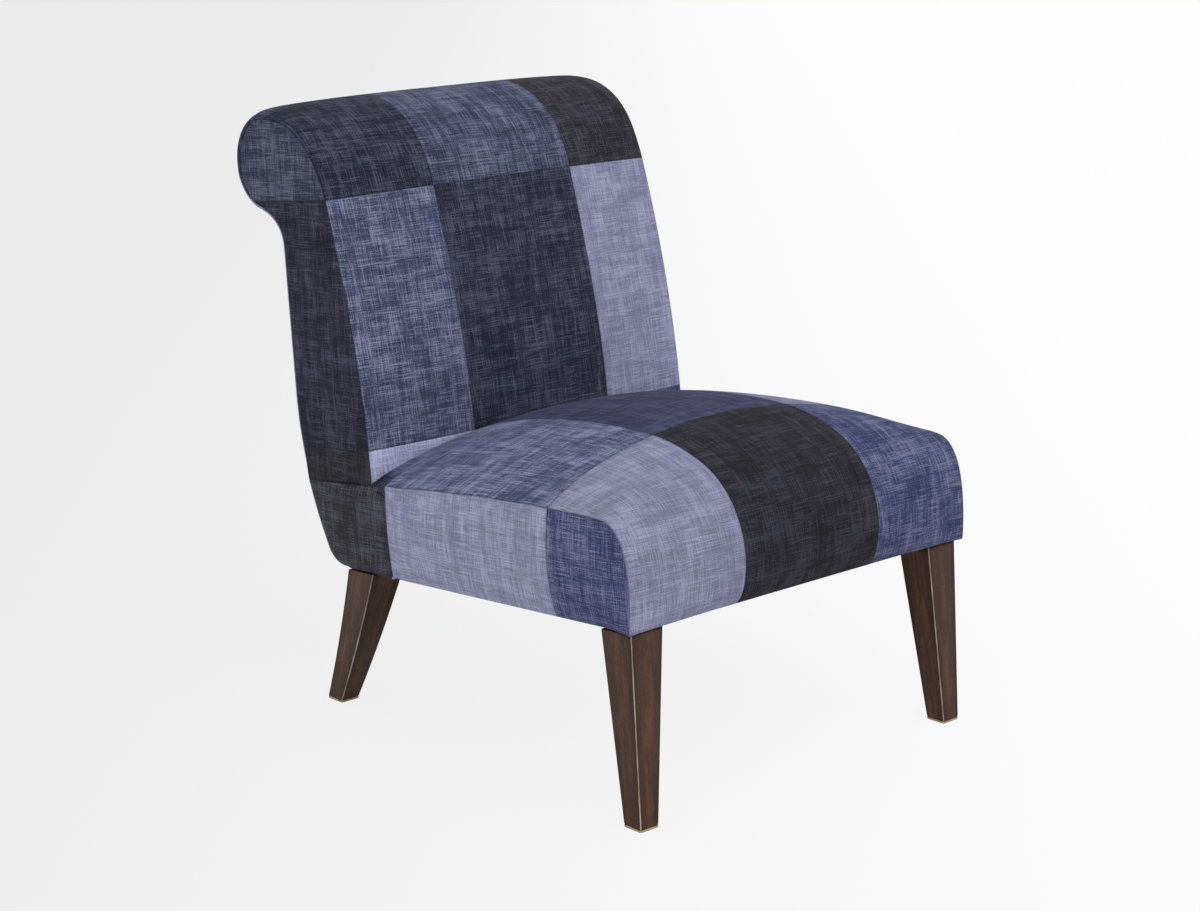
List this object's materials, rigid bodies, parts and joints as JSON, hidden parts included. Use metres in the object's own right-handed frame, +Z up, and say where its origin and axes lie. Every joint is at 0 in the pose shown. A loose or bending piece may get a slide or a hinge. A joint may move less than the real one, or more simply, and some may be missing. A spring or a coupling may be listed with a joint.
{
  "type": "slipper chair",
  "caption": "Armless slipper chair with a tight domed seat, a scroll back, tapered square wooden legs and a patchwork of dark and light blue cloth.",
  "frame": {"origin": "on the floor, under the middle of the chair's box", "axes": "+Z up, -Y towards the front of the chair, +X to the right for someone who looks at its front"},
  "size_m": [0.621, 0.8164, 0.815],
  "materials": {
    "leg_wood": "dark walnut stain, satin lacquer",
    "glide": "moulded, matte",
    "steel": "zinc plated",
    "brass": "plain",
    "timber": "planed, bare",
    "plywood": "sawn, bare",
    "chipboard": "bare bending board",
    "webbing": "woven jute",
    "felt": "pressed felt",
    "foam": "cut polyurethane foam",
    "seat_cloth": "linen-look weave, patchwork",
    "seat_side_cloth": "linen-look weave, patchwork",
    "inside_back_cloth": "linen-look weave, patchwork",
    "facing_cloth": "linen-look weave, patchwork",
    "lower_side_cloth": "linen-look weave",
    "outside_back_cloth": "linen-look weave",
    "dust_cloth": "non-woven"
  },
  "bodies": {
    "root": {"leg_front_left": "leg_wood", "leg_front_right": "leg_wood", "leg_rear_left": "leg_wood", "leg_rear_right": "leg_wood", "glide_front_left": "glide", "glide_front_right": "glide", "glide_rear_left": "glide", "glide_rear_right": "glide", "hanger_bolt_front_left": "steel", "hanger_bolt_front_right": "steel", "hanger_bolt_rear_left": "steel", "hanger_bolt_rear_right": "steel", "threaded_insert_front_left": "brass", "threaded_insert_front_right": "brass", "threaded_insert_rear_left": "brass", "threaded_insert_rear_right": "brass", "corner_block_front_left": "timber", "corner_block_front_right": "timber", "corner_block_rear_left": "timber", "corner_block_rear_right": "timber", "front_rail": "timber", "rear_rail": "timber", "left_rail": "timber", "right_rail": "timber", "sinuous_spring_1": "steel", "sinuous_spring_2": "steel", "sinuous_spring_3": "steel", "sinuous_spring_4": "steel", "spring_clip_front_1": "steel", "spring_clip_front_2": "steel", "spring_clip_front_3": "steel", "spring_clip_front_4": "steel", "spring_clip_rear_1": "steel", "spring_clip_rear_2": "steel", "spring_clip_rear_3": "steel", "spring_clip_rear_4": "steel", "spring_pad": "felt", "seat_foam": "foam", "seat_cover": "seat_cloth", "seat_side_cover_left": "seat_side_cloth", "seat_side_cover_right": "seat_side_cloth", "back_post_left": "plywood", "back_post_right": "plywood", "scroll_rail": "timber", "neck_rail": "timber", "lumbar_rail": "timber", "tack_rail": "timber", "back_webbing_low": "webbing", "back_webbing_middle": "webbing", "back_webbing_high": "webbing", "scroll_board": "chipboard", "back_foam": "foam", "inside_back_cover": "inside_back_cloth", "outside_back_board": "chipboard", "outside_back_cover": "outside_back_cloth", "side_facing_left": "facing_cloth", "side_facing_right": "facing_cloth", "lower_side_cover_left": "lower_side_cloth", "lower_side_cover_right": "lower_side_cloth", "dust_cover": "dust_cloth"}
  },
  "joints": []
}
